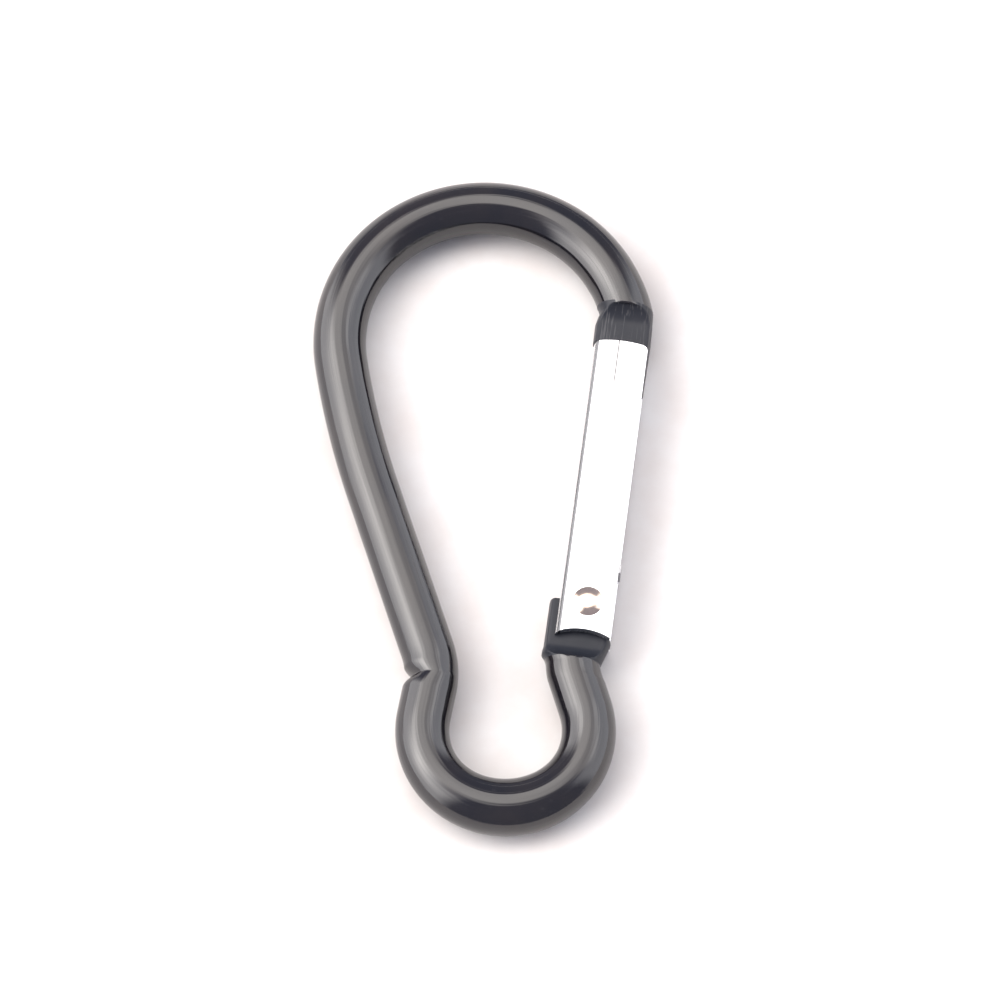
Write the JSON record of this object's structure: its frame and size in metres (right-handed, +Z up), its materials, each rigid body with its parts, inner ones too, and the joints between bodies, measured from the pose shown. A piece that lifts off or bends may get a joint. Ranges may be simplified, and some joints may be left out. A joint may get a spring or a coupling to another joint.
{
  "type": "carabiner keyring",
  "caption": "Pear-shaped snap hook bent from round rod, with a small eye at its narrow end and a sprung folded gate on one side.",
  "frame": {"origin": "middle of the part's box in plan, on the plane that it lies on", "axes": "+Y from the small eye to the wide loop, +X towards the gate side, +Z up through the rod's thickness"},
  "size_m": [0.0304, 0.0624, 0.0051],
  "materials": {
    "frame": "gloss black anodised",
    "gate": "polished silver",
    "rivet": "bright plated",
    "spring": "drawn spring wire",
    "plunger": "plain turned steel"
  },
  "bodies": {
    "frame": {"frame": "frame"},
    "gate": {"gate": "gate", "hinge_rivet": "rivet", "gate_spring": "spring"},
    "plunger": {"spring_plunger": "plunger"}
  },
  "joints": [
    {"name": "gate_swing", "type": "hinge", "parent": "frame", "child": "gate", "pos_m": [0.00791, -0.01064, 0.00253], "axis": [0, 0, 1], "range_deg": [0, 32], "stiffness_Nm_per_rad": 0.02, "springref_deg": -20.05},
    {"name": "plunger_slide", "type": "slide", "parent": "gate", "child": "plunger", "axis": [0.1788, 0.9839, 0], "range_m": [0, 0.00072], "deforming": ["gate_spring"]}
  ],
  "couplings": [
    {"joint": "plunger_slide", "follows": "gate_swing", "m_per_rad": 0.0012}
  ]
}
